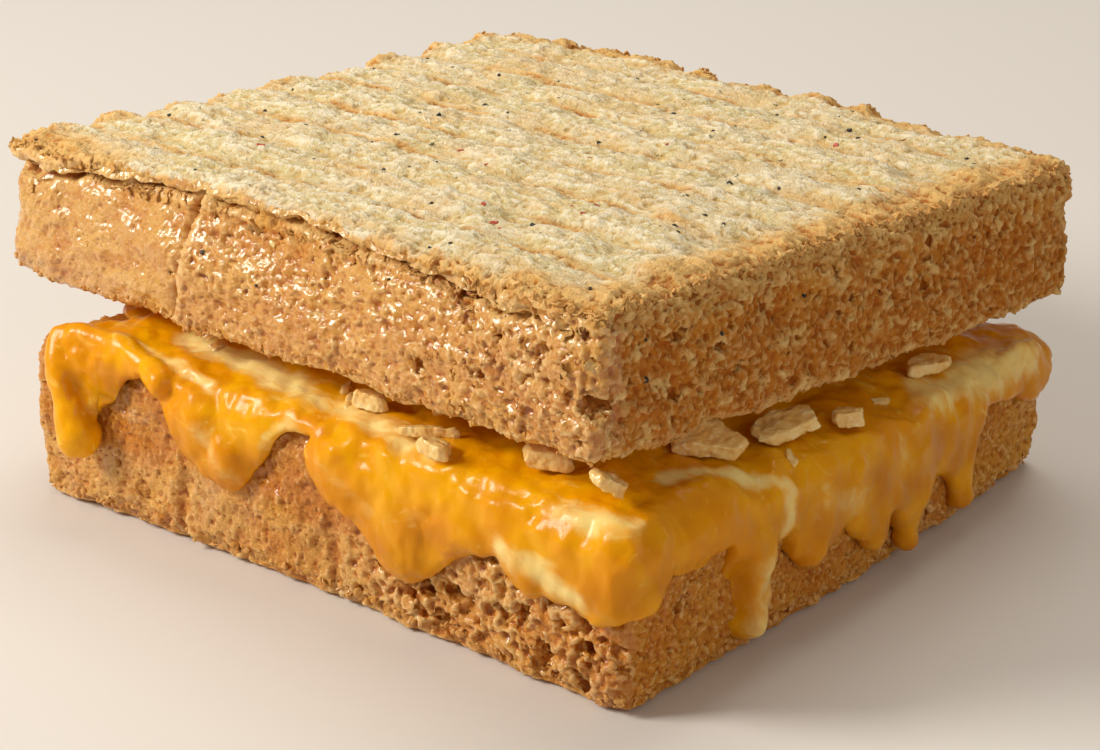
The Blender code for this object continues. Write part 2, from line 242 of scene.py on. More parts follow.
def grain(stretch, turn=(0.0, 0.0, 0.0), within=LOWER_FRAME):
    """An empty whose axes give a pattern its stretch, in millimetres, and its direction."""
    bpy.ops.object.empty_add(type="PLAIN_AXES")
    empty = bpy.context.object
    turned = Euler([math.radians(a) for a in turn]).to_matrix().to_4x4()
    scaled = Matrix.Diagonal((*[s * MM for s in stretch], 1.0))
    empty.matrix_world = within @ turned @ scaled
    return empty


def relief(piece, pattern, height, along, group, middle=0.5, direction="NORMAL"):
    """Raises a piece by a pattern, up to a height in millimetres."""
    put_on(piece, "DISPLACE", "relief", texture=pattern, texture_coords="OBJECT",
           texture_coords_object=along, strength=height * MM, mid_level=middle,
           direction=direction, vertex_group=group)


def pattern(name, kind, **settings):
    made = bpy.data.textures.new(name, kind)
    made.noise_scale = 1.0
    for key, value in settings.items():
        setattr(made, key, value)
    return made


LUMPS = pattern("soft lumps", "CLOUDS", noise_depth=3)
TEARS = pattern("torn crumb", "CLOUDS", noise_type="HARD_NOISE", noise_depth=3)
FOAM = pattern("open foam", "DISTORTED_NOISE", noise_basis="VORONOI_F2_F1",
               noise_distortion="IMPROVED_PERLIN", distortion=0.8)
TEARS_MIDDLE, FOAM_MIDDLE = 0.25, -0.6       # the patterns' mean values


def torn(piece, group, within, soft, tear, foam, stretch, turn=(0.0, 0.0, 0.0), cell=1.5):
    """Torn, bubbly crumb: soft lumps, ragged tears and small open cells, heights in millimetres."""
    relief(piece, LUMPS, soft, grain([2.2 * s for s in stretch], turn, within), group)
    relief(piece, TEARS, tear, grain(stretch, turn, within), group, middle=TEARS_MIDDLE)
    relief(piece, FOAM, -foam, grain((cell, cell, cell), turn, within), group, middle=FOAM_MIDDLE)


def bubble_cluster(name, bubbles):
    """One body from many overlapping bubbles: (place, radius, stretch) in world metres."""
    bpy.ops.mesh.primitive_ico_sphere_add(subdivisions=2, radius=1.0)
    model = bpy.context.object
    copies = [
        copied(model, Matrix.Translation(place) @ turn @ Matrix.Diagonal((*[radius * s for s in stretch], 1.0)))
        for place, radius, stretch, turn in bubbles
    ]
    removed(model)
    cluster = joined(copies, name)
    put_on(cluster, "REMESH", "one skin", mode="VOXEL", voxel_size=0.3 * MM)
    return cluster


def hollowed(piece, bubbles):
    """Cuts bubbles out of a piece."""
    cluster = bubble_cluster("bubbles", bubbles)
    put_on(piece, "BOOLEAN", "open pores", operation="DIFFERENCE", solver="MANIFOLD", object=cluster)
    removed(cluster)


def pores_on(surface, within, spots, seed):
    """Bubbles just under a surface. A spot is (from, towards, radius), in the frame's millimetres."""
    chance = random.Random(seed)
    bubbles = []
    for start, towards, radius in spots:
        begin = within @ (Vector(start) * MM)
        way = (within.to_3x3() @ Vector(towards)).normalized()
        place, facing, _, _ = surface.ray_cast(begin, way)
        if place is None:
            continue
        stretch = [chance.uniform(0.75, 1.3) for _ in range(3)]
        turn = Euler([chance.uniform(0.0, 3.1) for _ in range(3)]).to_matrix().to_4x4()
        sunk = place - facing * radius * MM * chance.uniform(0.0, 0.5)
        bubbles.append((sunk, radius * MM, stretch, turn))
    return bubbles


def scattered_spots(region, count, radii, seed):
    """Spots over a side. The region is (start corner, end corner, direction) in millimetres."""
    chance = random.Random(seed)
    start, end, towards = region
    spots = []
    for _ in range(count):
        place = [chance.uniform(a, b) for a, b in zip(start, end)]
        size = radii[0] + (radii[1] - radii[0]) * chance.random() ** 2.2
        spots.append((place, towards, size))
    return spots


def thinned(piece, keep):
    """Brings a piece under the face limit. Where keep is high, detail stays longer."""
    group = weigh(piece, "detail", 1.0 - keep)
    for settings in ({"vertex_group": group, "vertex_group_factor": 2.0}, {}):
        faces = sum(len(p.vertices) - 2 for p in piece.data.polygons)
        if faces > FACE_LIMIT:
            put_on(piece, "DECIMATE", "fewer faces", ratio=FACE_LIMIT / faces, **settings)


# ---------------------------------------------------------------- materials

def hue(red, green, blue):
    """A colour from its screen values of 0 to 255."""
    return tuple(((c / 255.0 + 0.055) / 1.055) ** 2.4 if c > 10 else c / 3294.6 for c in (red, green, blue)) + (1.0,)


class Finish:
    """A node material that is built up line by line."""

    def __init__(self, name):
        self.material = bpy.data.materials.new(name)
        self.material.use_nodes = True
        self.tree = self.material.node_tree
        self.shader = self.tree.nodes["Principled BSDF"]
        self.coordinates = self.tree.nodes.new("ShaderNodeTexCoord")

    def node(self, kind, **settings):
        made = self.tree.nodes.new(kind)
        for key, value in settings.items():
            setattr(made, key, value)
        return made

    def plug(self, value, socket):
        if isinstance(value, bpy.types.NodeSocket):
            self.tree.links.new(value, socket)
        else:
            socket.default_value = value

    def placed(self, within, scale=(1.0, 1.0, 1.0)):
        """Object coordinates in a frame, in millimetres, stretched by a scale."""
        if isinstance(scale, (int, float)):
            scale = (scale,) * 3
        turned = within.to_euler()
        mapping = self.node("ShaderNodeMapping", vector_type="TEXTURE")
        mapping.inputs["Location"].default_value = within.translation
        mapping.inputs["Rotation"].default_value = turned
        mapping.inputs["Scale"].default_value = [s * MM for s in scale]
        self.plug(self.coordinates.outputs["Object"], mapping.inputs["Vector"])
        return mapping.outputs["Vector"]

    def noise(self, vector, detail=3.0, roughness=0.55, distortion=0.0):
        made = self.node("ShaderNodeTexNoise")
        self.plug(vector, made.inputs["Vector"])
        made.inputs["Scale"].default_value = 1.0
        made.inputs["Detail"].default_value = detail
        made.inputs["Roughness"].default_value = roughness
        made.inputs["Distortion"].default_value = distortion
        return made.outputs["Fac"]

    def noted(self, name):
        return self.node("ShaderNodeAttribute", attribute_name=name).outputs["Fac"]

    def math(self, operation, first, second=0.0):
        made = self.node("ShaderNodeMath", operation=operation)
        self.plug(first, made.inputs[0])
        self.plug(second, made.inputs[1])
        return made.outputs[0]

    def spread(self, value, low, high, start=0.0, end=1.0):
        """Spreads a value between low and high over start to end, smoothly and clamped."""
        made = self.node("ShaderNodeMapRange", interpolation_type="SMOOTHSTEP")
        self.plug(value, made.inputs["Value"])
        for name, number in zip(("From Min", "From Max", "To Min", "To Max"), (low, high, start, end)):
            made.inputs[name].default_value = number
        return made.outputs["Result"]

    def mixed(self, share, first, second):
        made = self.node("ShaderNodeMix", data_type="RGBA")
        self.plug(share, made.inputs[0])
        self.plug(first, made.inputs[6])
        self.plug(second, made.inputs[7])
        return made.outputs[2]

    def bumped(self, height, distance, strength=1.0, after=None):
        made = self.node("ShaderNodeBump")
        made.inputs["Distance"].default_value = distance * MM
        made.inputs["Strength"].default_value = strength
        self.plug(height, made.inputs["Height"])
        if after is not None:
            self.plug(after, made.inputs["Normal"])
        return made.outputs["Normal"]

    def set(self, **inputs):
        for name, value in inputs.items():
            self.plug(value, self.shader.inputs[name.replace("_", " ")])


def wear(piece, finish):
    piece.data.materials.clear()
    piece.data.materials.append(finish.material)


def bread_finish(name, within):
    """Toasted bread. It reads toast, butter, depth, rise, pale and baked from the mesh."""
    made = Finish(name)
    toast, butter, depth = made.noted("toast"), made.noted("butter"), made.noted("depth")
    patches = made.noise(made.placed(within, 8.0), detail=3.0)
    specks = made.noise(made.placed(within, 1.3), detail=4.0, roughness=0.65)
    fibres = made.noise(made.placed(within, (2.6, 0.7, 0.8)), detail=4.0)
    rise = made.math("ADD", made.noted("rise"), made.math("MULTIPLY", made.math("SUBTRACT", specks, 0.5), 0.5))
    baked = made.noted("baked")
    # painted highlight on what stands out, weaker where the side is darkened
    painted_ridge_highlight = made.math("MULTIPLY", made.spread(rise, 0.05, 0.42, 0.0, 0.6), made.spread(baked, 0.0, 0.6, 1.0, 0.6))
    stains = made.noise(made.placed(within, (3.4, 3.4, 2.6)), detail=2.0, distortion=0.5)
    toasting = made.noise(made.placed(within, (13.0, 5.0, 5.0)), detail=3.0)

    # crumb: cream with tan spots; a painted highlight makes it paler on what stands out, and painted shade makes it
    # darker and a little green-yellow in the hollows
    crumb = made.mixed(made.spread(patches, 0.36, 0.64), hue(224, 206, 166), hue(217, 199, 147))
    crumb = made.mixed(made.spread(rise, 0.02, 0.30, 0.0, 0.85), crumb, hue(240, 230, 202))
    crumb = made.mixed(made.spread(rise, -0.02, -0.30, 0.0, 0.75), crumb, hue(200, 163, 92))
    crumb = made.mixed(made.spread(fibres, 0.54, 0.70, 0.0, 0.5), crumb, hue(226, 184, 118))
    crumb = made.mixed(made.spread(toasting, 0.50, 0.66, 0.0, 0.45), crumb, hue(222, 182, 118))

    # crust: golden brown; painted shade makes it darker in the hollows, and a painted highlight makes it paler on what
    # stands out
    crust = made.mixed(made.spread(patches, 0.36, 0.64), hue(212, 148, 52), hue(200, 126, 32))
    # pale: real paler crust in places, and painted light on crust facing up, on the lower front and at the top of the
    # right side
    crust = made.mixed(made.noted("pale"), crust, hue(219, 180, 112))
    crust = made.mixed(made.spread(stains, 0.50, 0.68, 0.0, 0.5), crust, hue(184, 105, 14))
    # darker brown: darker toasted crust in places, and painted shade on the right sides
    crust = made.mixed(baked, crust, hue(176, 96, 6))
    crust = made.mixed(painted_ridge_highlight, crust, hue(242, 202, 134))
    crust = made.mixed(made.spread(rise, -0.02, -0.30, 0.0, 0.75), crust, hue(172, 88, 6))
    # painted shade: deep brown deep in the pores
    crust = made.mixed(made.spread(depth, 1.0, 2.8, 0.0, 0.75), crust, hue(148, 74, 8))

    uneven = made.math("ADD", toast, made.math("MULTIPLY", made.math("SUBTRACT", specks, 0.5), 0.7))
    made.set(
        Base_Color=made.mixed(made.spread(uneven, 0.18, 0.82), crumb, crust),
        Roughness=made.spread(butter, 0.0, 1.0, 0.85, 0.18),
        Subsurface_Weight=0.06,
        Subsurface_Radius=(1.0, 0.6, 0.25),
        Subsurface_Scale=0.8 * MM,
        Specular_IOR_Level=0.25,
        Coat_Weight=made.spread(butter, 0.2, 1.0, 0.0, 0.75),
        Coat_Roughness=0.12,
    )
    fine = made.noise(made.placed(within, 0.42), detail=3.0, roughness=0.6)
    normal = made.bumped(made.math("MULTIPLY", fine, made.spread(butter, 0.0, 1.0, 1.0, 0.4)), 0.34, 1.0)
    small = made.noise(made.placed(within, (1.1, 1.1, 0.9)), detail=2.0)
    made.set(Normal=made.bumped(small, 0.42, 0.8, after=normal))
    return made


def cheese_finish():
    """Melted cheese. It reads cream and thin from the mesh."""
    made = Finish("melted cheese")
    cream, thin = made.noted("cream"), made.noted("thin")
    drawn = made.noise(made.placed(LOWER_FRAME, (11.0, 8.0, 16.0)), detail=2.0, distortion=0.8)
    veins = made.noise(made.placed(LOWER_FRAME, (7.0, 3.0, 4.0)), detail=3.0, distortion=1.4)
    body = made.mixed(made.spread(drawn, 0.36, 0.62), hue(236, 168, 2), hue(224, 146, 2))
    body = made.mixed(made.spread(veins, 0.60, 0.74, 0.0, 0.5), body, hue(248, 212, 100))
    streaks = made.math("ADD", cream, made.math("MULTIPLY", made.math("SUBTRACT", veins, 0.5), 0.9))
    body = made.mixed(made.spread(streaks, 0.30, 0.90, 0.0, 0.92), body, hue(248, 224, 146))
    # darker orange: a thinner layer of cheese on the film and the drips, and painted shade along the right side
    body = made.mixed(thin, body, hue(200, 124, 2))
    made.set(
        Base_Color=body,
        Roughness=made.spread(drawn, 0.3, 0.7, 0.26, 0.36),
        Subsurface_Weight=0.4,
        Subsurface_Radius=(1.0, 0.62, 0.2),
        Subsurface_Scale=2.0 * MM,
        Specular_IOR_Level=0.12,
        Coat_Weight=0.17,
        Coat_Roughness=0.15,
    )
    ripple = made.noise(made.placed(LOWER_FRAME, (1.6, 1.6, 2.8)), detail=3.0)
    made.set(Normal=made.bumped(ripple, 0.22, 0.7))
    return made


def garlic_finish():
    made = Finish("garlic flesh")
    grain_lines = made.noise(made.placed(LOWER_FRAME, (0.8, 2.4, 0.8)), detail=2.0)
    tint = made.noise(made.placed(LOWER_FRAME, 3.0), detail=2.0)
    body = made.mixed(made.spread(tint, 0.35, 0.65), hue(246, 214, 142), hue(234, 190, 108))
    body = made.mixed(made.spread(grain_lines, 0.55, 0.7, 0.0, 0.5), body, hue(253, 236, 194))
    made.set(
        Base_Color=body,
        Roughness=0.32,
        Subsurface_Weight=0.4,
        Subsurface_Radius=(1.0, 0.8, 0.5),
        Subsurface_Scale=0.8 * MM,
        Coat_Weight=0.25,
        Coat_Roughness=0.2,
        Normal=made.bumped(grain_lines, 0.12, 0.6),
    )
    return made


def speck_finish(name, first, second, roughness):
    made = Finish(name)
    tint = made.noise(made.placed(LOWER_FRAME, 0.7), detail=2.0)
    made.set(
        Base_Color=made.mixed(made.spread(tint, 0.35, 0.65), first, second),
        Roughness=roughness,
        Normal=made.bumped(tint, 0.1, 0.6),
    )
    return made


# ---------------------------------------------------------------- bread

UPPER_HOLES = [  # x and height on the front side, radius
    (58.0, 7.8, 2.0), (56.0, 3.0, 1.3), (56.0, 17.0, 1.1), (49.3, 13.3, 1.5), (40.5, 16.2, 1.1),
    (41.3, 13.0, 1.6), (47.9, 9.6, 0.9), (-21.7, 7.5, 0.75), (-5.9, 8.5, 0.7), (33.0, 16.8, 1.0),
]
LIP = [  # x and height of the crevice under the torn skin along the front
    (-60.0, 15.6), (-47.4, 16.7), (-35.9, 18.0), (-20.2, 19.2), (-8.5, 19.4), (1.6, 19.1), (15.6, 18.3),
    (27.2, 17.6), (36.8, 17.2), (48.1, 16.8), (60.0, 16.2),
]


def lip_height(x):
    return np.interp(x, *zip(*LIP))


def inside_edge(place, half):
    """How far each place lies inside the four sides, in millimetres."""
    return np.minimum(half.x - np.abs(place[:, 0]), half.y - np.abs(place[:, 1]))


def upper_slice(finish):
    piece = copy_of_node("upper_slice", "upper_slice_bread")
    within = UPPER_FRAME
    original = surface_of(piece)
    front, right = (0.0, 1.0, 0.0), (-1.0, 0.0, 0.0)
    spots = [((at, -70.0, height), front, radius) for at, height, radius in UPPER_HOLES]
    spots += scattered_spots(((26.0, -70.0, 1.0), (58.0, -70.0, 16.0), front), 40, (0.5, 1.1), 3)
    spots += scattered_spots(((70.0, -50.0, 2.0), (70.0, 50.0, 17.0), right), 60, (0.5, 1.2), 7)
    hollowed(piece, pores_on(original, within, spots, 21))
    put_on(piece, "REMESH", "even skin", mode="VOXEL", voxel_size=VOXEL * MM)

    place, facing = places(piece, within), facings(piece, within)
    x, height = place[:, 0], place[:, 2]
    edge_in = inside_edge(place, UPPER_HALF)
    top_share = ramp(facing[:, 2], 0.2, 0.7)
    front_share = ramp(-facing[:, 1], 0.25, 0.7)
    side_share = ramp(np.maximum(np.abs(facing[:, 0]), facing[:, 1]), 0.25, 0.7)
    under_share = ramp(-facing[:, 2], 0.2, 0.7) * ramp(edge_in, 6.0, 1.0) * ramp(place[:, 1], 40.0, 20.0)
    off_crease = x - (CREASE_AT - 0.16 * (19.0 - height)) - 0.7 * waver(place, 3.0, 5.0)
    uneven = waver(place * (1.0, 0.0, 0.5), 4.0, 2.0)
    off_lip = height - lip_height(x) - 0.9 * uneven
    open_lip = ramp(waver(place * (1.0, 0.0, 0.0), 6.0, 9.0), -0.6, -0.1) * ramp(x, 58.0, 44.0)
    left = front_share * ramp(-off_crease, -2.0, 2.0)
    on_all = weigh(piece, "all", np.clip(top_share + front_share + side_share + under_share, 0.0, 1.0))
    on_top = weigh(piece, "top", top_share)
    on_left = weigh(piece, "left of the front", left)
    on_right = weigh(piece, "right of the front", front_share - left)
    on_sides = weigh(piece, "sides", np.clip(side_share + under_share, 0.0, 1.0) * (1.0 - front_share))
    on_rim = weigh(piece, "rim", bell(height - 2.0 * UPPER_HALF.z, 3.5) * bell(edge_in, 5.0) * (1.0 - 0.5 * front_share))
    on_crease = weigh(piece, "crease", front_share * bell(off_crease, 0.8) * ramp(height, 0.5, 5.0) * ramp(height, 19.5, 17.0))
    on_step = weigh(piece, "step", front_share * ramp(off_crease, 0.2, 1.4) * bell(off_crease, 14.0))
    on_lip = weigh(piece, "lip", front_share * bell(off_lip, 0.75) * open_lip)
    on_near = weigh(piece, "near corner", front_share * ramp(x, 22.0, 42.0))
    on_skin = weigh(piece, "skin over the lip", front_share * bell(off_lip - 1.9, 1.0))

    put_on(piece, "DISPLACE", "crease", strength=-1.9 * MM, mid_level=0.0, vertex_group=on_crease)
    put_on(piece, "DISPLACE", "step", strength=1.0 * MM, mid_level=0.0, vertex_group=on_step)
    put_on(piece, "DISPLACE", "lip", strength=-2.5 * MM, mid_level=0.0, vertex_group=on_lip)
    put_on(piece, "DISPLACE", "skin", strength=0.9 * MM, mid_level=0.0, vertex_group=on_skin)
    relief(piece, LUMPS, 2.2, grain((9.0, 9.0, 7.0), within=within), on_all)
    relief(piece, LUMPS, 3.0, grain((5.0, 5.0, 5.0), within=within), on_rim)
    torn(piece, on_top, within, soft=1.5, tear=0.75, foam=0.35, stretch=(3.4, 1.3, 1.3), turn=(0, 0, 5), cell=1.4)
    torn(piece, on_left, within, soft=0.5, tear=0.5, foam=0.2, stretch=(2.4, 1.0, 0.9), turn=(0, -48, 0), cell=1.2)
    torn(piece, on_right, within, soft=1.0, tear=0.7, foam=0.4, stretch=(1.9, 1.4, 1.1), turn=(0, -14, 0), cell=1.5)
    relief(piece, FOAM, -0.4, grain((2.0, 2.0, 1.7), within=within), on_near, middle=FOAM_MIDDLE)
    torn(piece, on_sides, within, soft=1.4, tear=1.0, foam=0.6, stretch=(1.3, 1.9, 1.3), cell=1.5)

    thinned(piece, np.clip(0.15 + front_share + 0.75 * top_share + 0.8 * side_share, 0.0, 1.0))
    open_skin = note_bread(piece, original)
    place, facing = places(piece, within), facings(piece, within)
    x, y, height = place[:, 0], place[:, 1], place[:, 2]
    edge_in = inside_edge(place, UPPER_HALF)
    off_mark = (((y - GRILL_START) / GRILL_PITCH + 0.5) % 1.0 - 0.5) * GRILL_PITCH + 0.8 * waver(place, 9.0, 4.0)
    mark = bell(off_mark, 1.25) * np.clip(0.55 + 0.9 * waver(place, 7.0, 8.0), 0.0, 0.75)
    scorch = 2.2 * waver(place, 5.0, 12.0) + 1.6 * waver(place, 2.0, 14.0)
    wide = 6.0 * ramp(-x, 30.0, 56.0) + 3.0 * ramp(x, 30.0, 50.0)
    border = np.zeros(len(place))
    for inside, width in ((UPPER_HALF.x - x, 8.5), (UPPER_HALF.y + y, 3.6 + wide), (UPPER_HALF.x + x, 6.0),
                          (UPPER_HALF.y - y, 5.0)):
        border = np.maximum(border, ramp(inside + scorch, 1.6 * width, 0.2 * width))
    off_lip = height - lip_height(x)
    above = np.where(y < -45.0, ramp(off_lip, 0.2, 1.6), ramp(height, 17.2, 18.8))
    side = 1.0 - np.minimum(ramp(facing[:, 2], -0.2, 0.5), above)
    right_side = ramp(facing[:, 0], 0.2, 0.7)
    note(piece, "toast", np.clip(np.maximum(np.maximum(0.9 * border, mark), side), 0.0, 1.0))
    at_front = ramp(y, -47.0, -51.0)
    wet = at_front * ramp(height, 20.0, 18.0) * (0.85 + 0.3 * waver(place, 3.0, 6.0)) + 0.25 * right_side
    note(piece, "butter", wet * open_skin)
    blotches = right_side * ramp(waver(place, 2.6, 19.0), 0.12, 0.45)
    # paler along the front, more to the left; painted light on crust that faces up
    pale = np.maximum(at_front * (0.25 + 0.25 * ramp(-x, 0.0, 45.0)), 0.85 * ramp(facing[:, 2], 0.3, 0.8))
    # the right side gets paler blotches, and painted light that makes it paler towards the top edge
    note(piece, "pale", np.maximum(pale, right_side * np.maximum(0.75 * blotches, 0.6 * ramp(height, 15.0, 19.0))))
    # painted shade: the right side darker, most towards the bottom, partly real darker crust
    note(piece, "baked", 0.6 * right_side * ramp(height, 20.0, 11.0) * (1.0 - blotches))
    smooth(piece, 180.0)
    wear(piece, finish)
    return piece


def note_bread(piece, original):
    """Notes how deep each vertex lies under the plain slice and how far it stands out.

    Gives back how open each vertex is: 1 at the surface and 0 deep in a pore.
    """
    depth = []
    for vertex in piece.data.vertices:
        nearest, normal, _, _ = original.find_nearest(vertex.co)
        depth.append((nearest - vertex.co).dot(normal) / MM)
    # the finish paints shade deep in the pores from this depth
    note(piece, "depth", depth)
    # the finish paints a highlight on what stands out and shade in the hollows from this
    note(piece, "rise", 1.2 * standing_out(piece, 3) + 0.45 * standing_out(piece, 16))
    return 1.0 - ramp(np.array(depth), 0.9, 2.2)


def lower_slice(finish):
    piece = copy_of_node("lower_slice", "lower_slice_bread")
    within = LOWER_FRAME
    original = surface_of(piece)
    front, right = (0.0, 1.0, 0.0), (-1.0, 0.0, 0.0)
    spots = scattered_spots(((12.0, -70.0, 1.5), (54.0, -70.0, 19.0), front), 110, (0.6, 1.7), 31)
    spots += scattered_spots(((70.0, -50.0, 1.5), (70.0, 50.0, 20.0), right), 50, (0.5, 1.3), 37)
    spots += scattered_spots(((-70.0, -50.0, 1.5), (-70.0, 50.0, 20.0), (1.0, 0.0, 0.0)), 50, (0.5, 1.2), 41)
    spots += scattered_spots(((-54.0, 70.0, 1.5), (54.0, 70.0, 16.0), (0.0, -1.0, 0.0)), 50, (0.5, 1.2), 43)
    hollowed(piece, pores_on(original, within, spots, 45))
    put_on(piece, "REMESH", "even skin", mode="VOXEL", voxel_size=VOXEL * MM)

    place, facing = places(piece, within), facings(piece, within)
    x, height = place[:, 0], place[:, 2]
    front_share = ramp(-facing[:, 1], 0.25, 0.7)
    side_share = ramp(np.maximum(np.abs(facing[:, 0]), facing[:, 1]), 0.25, 0.7)
    off_crease = np.minimum(np.abs(x + 26.0 - 0.1 * height), np.abs(x - 3.5 + 0.05 * height)) + 0.8 * waver(place, 3.0, 7.0)
    off_foot = ramp(height, 0.2, 1.8)
    left = front_share * ramp(x, 16.0, -4.0)
    near_foot = np.maximum(front_share, side_share) * ramp(height, 5.0, 0.5)
    on_all = weigh(piece, "all", np.clip(front_share + side_share, 0.0, 1.0) * off_foot)
    on_left = weigh(piece, "left of the front", left * off_foot)
    on_right = weigh(piece, "right of the front", (front_share - left) * off_foot)
    on_sides = weigh(piece, "sides", side_share * (1.0 - front_share) * off_foot)
    on_crease = weigh(piece, "crease", front_share * bell(off_crease, 0.9) * ramp(height, 16.0, 6.0))
    on_foot = weigh(piece, "foot", near_foot)
    put_on(piece, "DISPLACE", "crease", strength=-1.2 * MM, mid_level=0.0, vertex_group=on_crease)
    relief(piece, LUMPS, 2.0, grain((8.0, 8.0, 8.0), within=within), on_all)
    torn(piece, on_left, within, soft=0.9, tear=0.6, foam=0.35, stretch=(1.1, 1.1, 2.2), turn=(0, 8, 0), cell=1.3)
    torn(piece, on_right, within, soft=0.7, tear=0.5, foam=0.9, stretch=(1.3, 1.3, 1.6), cell=2.2)
    torn(piece, on_sides, within, soft=1.0, tear=0.7, foam=0.6, stretch=(1.2, 1.7, 1.4), cell=1.5)
    for direction in ("X", "Y"):
        relief(piece, LUMPS, 2.6, grain((2.6, 2.6, 2.6), within=within), on_foot, direction=direction)

    thinned(piece, np.clip(0.1 + front_share + side_share, 0.0, 1.0))
    open_skin = note_bread(piece, original)
    place, facing = places(piece, within), facings(piece, within)
    x, height = place[:, 0], place[:, 2]
    facing_front = ramp(-facing[:, 1], 0.1, 0.5)
    skin = ramp(height, 9.0, 15.0) * ramp(x, 40.0, 20.0)
    note(piece, "toast", np.clip(0.9 + 0.4 * waver(place, 8.0, 17.0), 0.7, 1.0))
    note(piece, "butter", facing_front * (0.6 + 0.3 * waver(place, 3.0, 6.0)) * open_skin)
    # paler front, more to the left, partly painted light where the front faces the light
    note(piece, "pale", facing_front * (0.3 + 0.3 * waver(place, 12.0, 3.0)) * (1.0 - skin) * ramp(x, 60.0, 0.0))
    at_corner = 0.6 * ramp(x, 48.0, 52.5) * ramp(place[:, 1], -46.5, -49.5)
    # painted shade on the right side, most towards the front
    right_side = 0.3 * ramp(facing[:, 0], 0.2, 0.7) * ramp(place[:, 1], 45.0, -10.0)
    # darker at the scorched near corner and on the upper left of the front, with painted shade on the right side
    note(piece, "baked", np.maximum(at_corner, right_side) + 0.35 * facing_front * skin)
    smooth(piece, 180.0)
    wear(piece, finish)
    return piece


# ---------------------------------------------------------------- cheese

RUNS = [  # (x, y, z, radius) down a run of cheese
    [(-49.0, -49.8, 27.0, 2.0), (-47.6, -52.4, 22.0, 2.6), (-44.6, -53.0, 16.5, 2.9), (-43.0, -53.1, 13.0, 3.2)],
    [(-48.5, -50.0, 26.8, 1.8), (-42.0, -49.6, 27.3, 1.6), (-34.0, -49.8, 27.2, 1.6), (-27.0, -51.4, 25.4, 2.0)],
    [(55.8, -24.0, 24.0, 1.6), (57.2, -25.2, 17.0, 1.5), (57.6, -26.4, 9.5, 1.5), (57.8, -27.0, 5.4, 2.1)],
    [(56.8, -8.0, 22.0, 2.2), (58.2, -12.0, 15.0, 2.2), (58.3, -15.0, 11.5, 2.2)],
    [(57.0, 4.0, 20.0, 2.2), (58.2, 1.5, 13.0, 2.2), (58.3, 1.0, 8.0, 2.2)],
    [(57.0, 14.0, 18.0, 1.8), (58.0, 11.0, 10.0, 1.8), (58.1, 10.0, 4.0, 2.0)],
    [(57.0, 27.0, 18.0, 1.8), (58.0, 24.0, 10.0, 1.8), (58.1, 23.5, 5.6, 2.0)],
]

SWELLS = [  # middle, half sizes and turn about Y of a swelling on a tongue of cheese
    ((-20.5, -51.4, 20.5), (6.2, 2.0, 5.4), 30), ((-14.5, -51.6, 16.8), (3.6, 1.8, 4.6), 12),
    ((8.0, -51.4, 20.5), (8.0, 2.0, 4.8), 25), ((17.0, -51.8, 15.5), (5.6, 2.0, 6.6), 10),
    ((27.0, -51.2, 19.0), (6.5, 1.8, 4.0), -20), ((40.0, -51.4, 18.5), (5.5, 2.0, 4.8), 10),
    ((51.0, -51.4, 18.0), (5.5, 2.0, 5.4), -10), ((57.0, -40.0, 21.0), (1.8, 6.0, 3.6), 0),
    ((57.0, -10.0, 18.0), (2.0, 7.0, 5.0), 0), ((57.0, 40.0, 20.0), (2.0, 7.0, 4.0), 0),
]

STREAKS = [  # half width and strength of a cream streak, then its path
    (2.7, 0.9, [(-30.0, -42.5, 28.3), (-16.8, -44.3, 28.3), (-6.0, -46.0, 28.2)]),
    (2.0, 0.75, [(-3.4, -46.4, 28.2), (8.6, -47.6, 28.0), (22.0, -49.5, 27.0)]),
    (1.0, 0.7, [(-48.6, -51.1, 26.7), (-43.9, -48.5, 27.9), (-34.7, -48.4, 28.0), (-26.5, -49.6, 27.5), (-18.5, -50.6, 26.9)]),
    (1.8, 0.8, [(44.0, -51.0, 26.6), (50.7, -50.7, 27.0), (55.0, -49.0, 27.0)]),
    (1.5, 0.9, [(50.0, -36.0, 27.8), (54.5, -27.0, 26.0), (58.6, -21.6, 24.0), (59.6, -20.4, 20.0), (60.4, -24.0, 14.0), (60.8, -26.4, 4.0)]),
    (4.4, 0.85, [(56.0, 17.7, 23.6), (56.5, 25.0, 22.8), (57.0, 35.1, 22.0), (57.5, 39.9, 21.3)]),
    (1.6, 0.7, [(-3.0, -51.2, 26.0), (-5.2, -52.7, 22.8), (-9.6, -54.0, 17.0)]),
    (2.8, 0.75, [(59.8, -25.4, 14.0), (60.2, -26.6, 4.0)]),
    (1.2, 0.5, [(20.0, -54.0, 20.0), (24.0, -54.0, 16.0), (26.0, -54.0, 12.0)]),
    (2.2, 0.55, [(-18.0, -53.6, 20.0), (-13.0, -53.6, 15.5)]), (2.4, 0.5, [(5.0, -53.6, 22.5), (13.0, -53.8, 18.0)]),
    (2.4, 0.8, [(37.0, -53.6, 20.0), (49.0, -53.6, 16.5)]), (2.8, 0.55, [(59.0, -13.0, 19.0), (59.4, -5.0, 15.0)]),
    (2.6, 0.5, [(58.4, 5.0, 20.0), (59.2, 12.0, 14.0)]),
]


